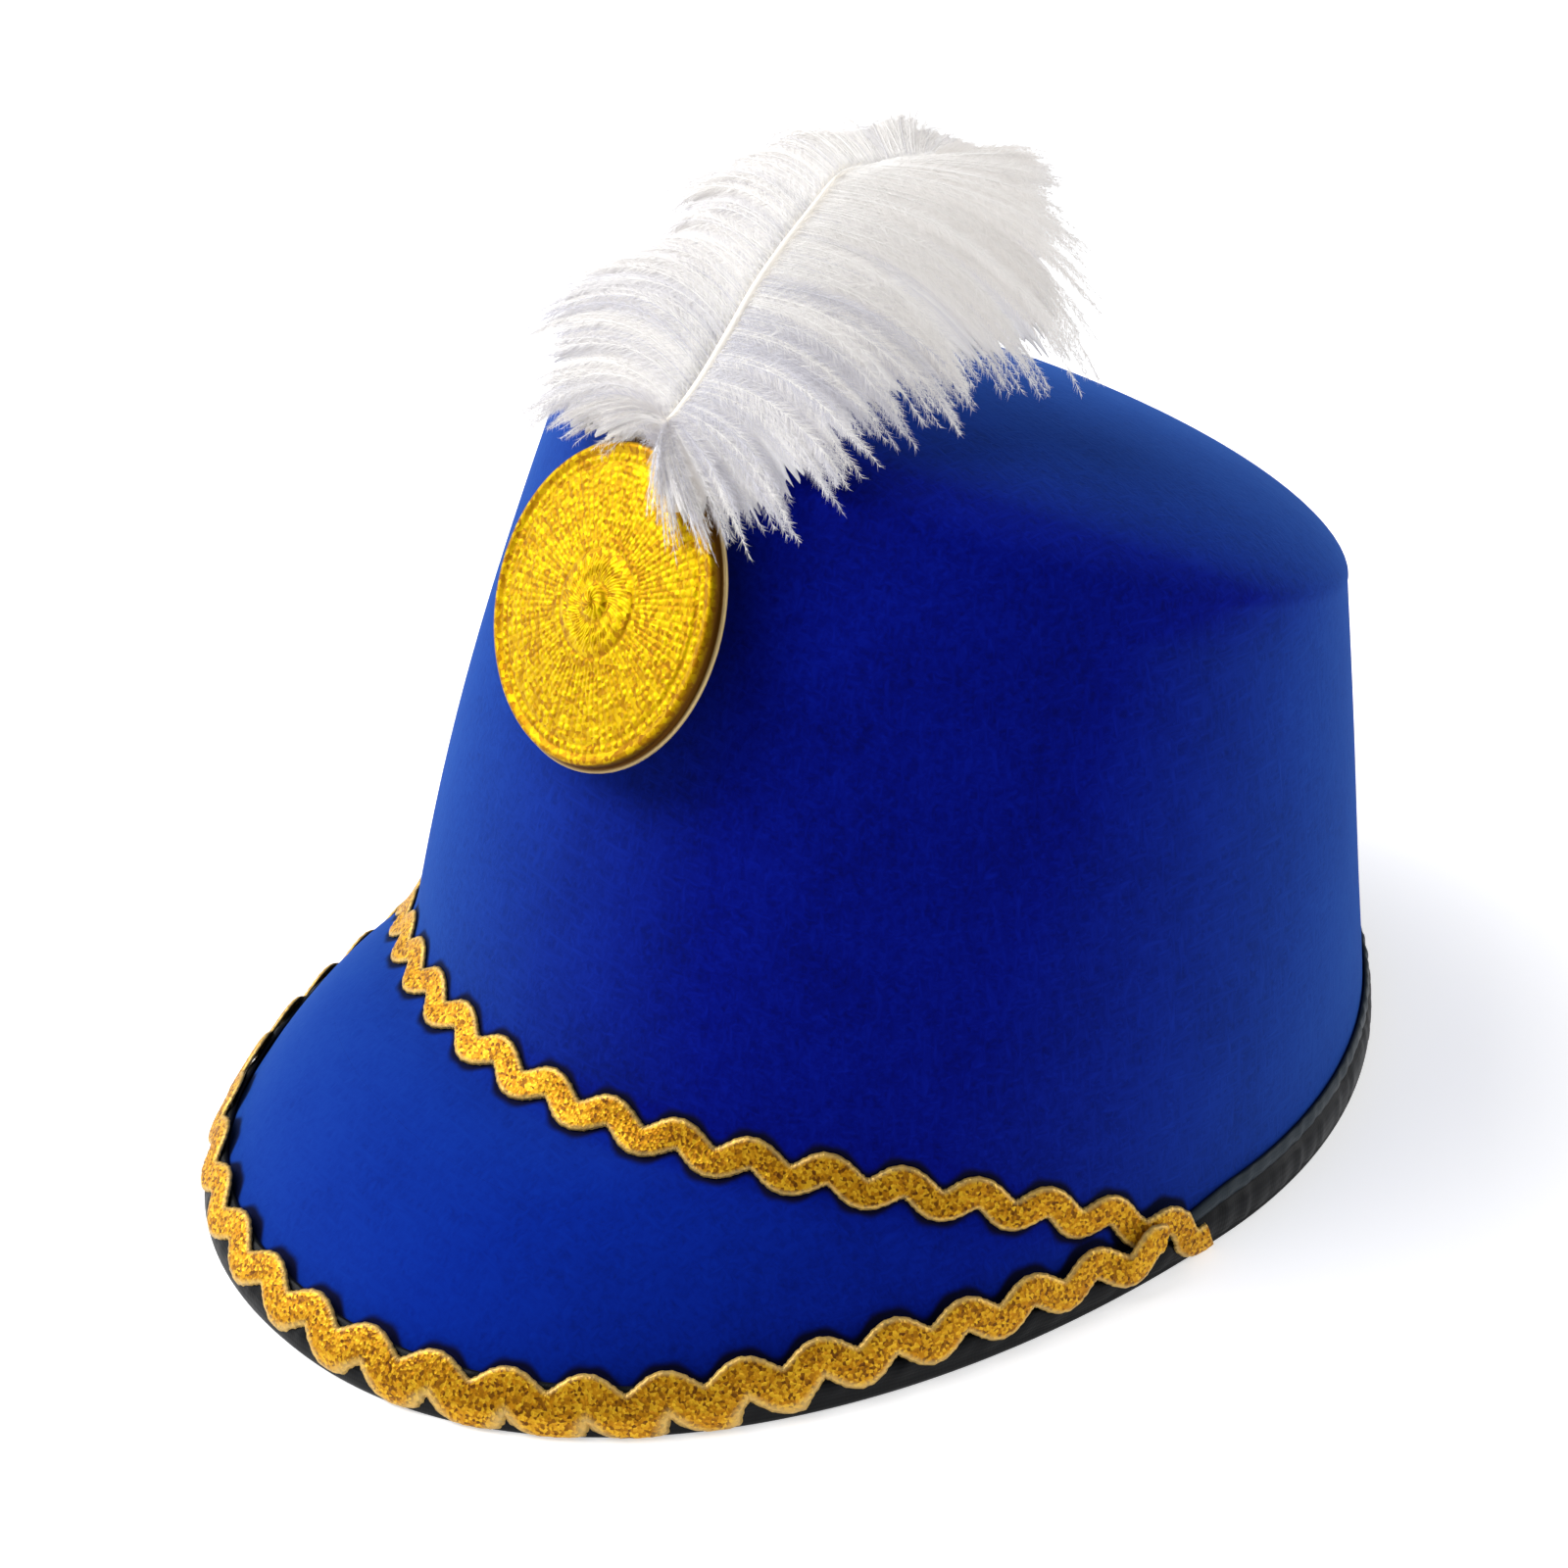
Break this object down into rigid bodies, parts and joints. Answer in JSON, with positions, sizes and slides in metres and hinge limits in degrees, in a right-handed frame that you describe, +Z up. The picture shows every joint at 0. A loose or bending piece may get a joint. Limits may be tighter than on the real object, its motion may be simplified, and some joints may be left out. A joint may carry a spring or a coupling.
{
  "type": "shako hat",
  "caption": "Stiff blue felt parade hat with a leaning crown and sloping peak, bound edge, wavy gold braid, round gold badge and a curled white feather plume; open below for the head.",
  "frame": {"origin": "centre of the footprint on the plane that the bound edge rests on", "axes": "+Z up through the crown, -Y towards the front (peak, badge and plume root), +X towards the wearer's left"},
  "size_m": [0.184, 0.239, 0.1822],
  "materials": {
    "blue_felt": "matt moulded wool-look felt with a short fuzz",
    "black_tape": "satin binding tape with a low sheen",
    "gold_braid": "woven metallic thread, glittering",
    "gold_badge": "gold-coloured stamped badge, half gloss with a fine grain",
    "white_feather": "soft matt ostrich barbs"
  },
  "bodies": {
    "root": {"crown_and_peak": "blue_felt", "edge_binding": "black_tape", "crown_ricrac": "gold_braid", "peak_ricrac": "gold_braid", "badge": "gold_badge", "plume": "white_feather"}
  },
  "joints": []
}
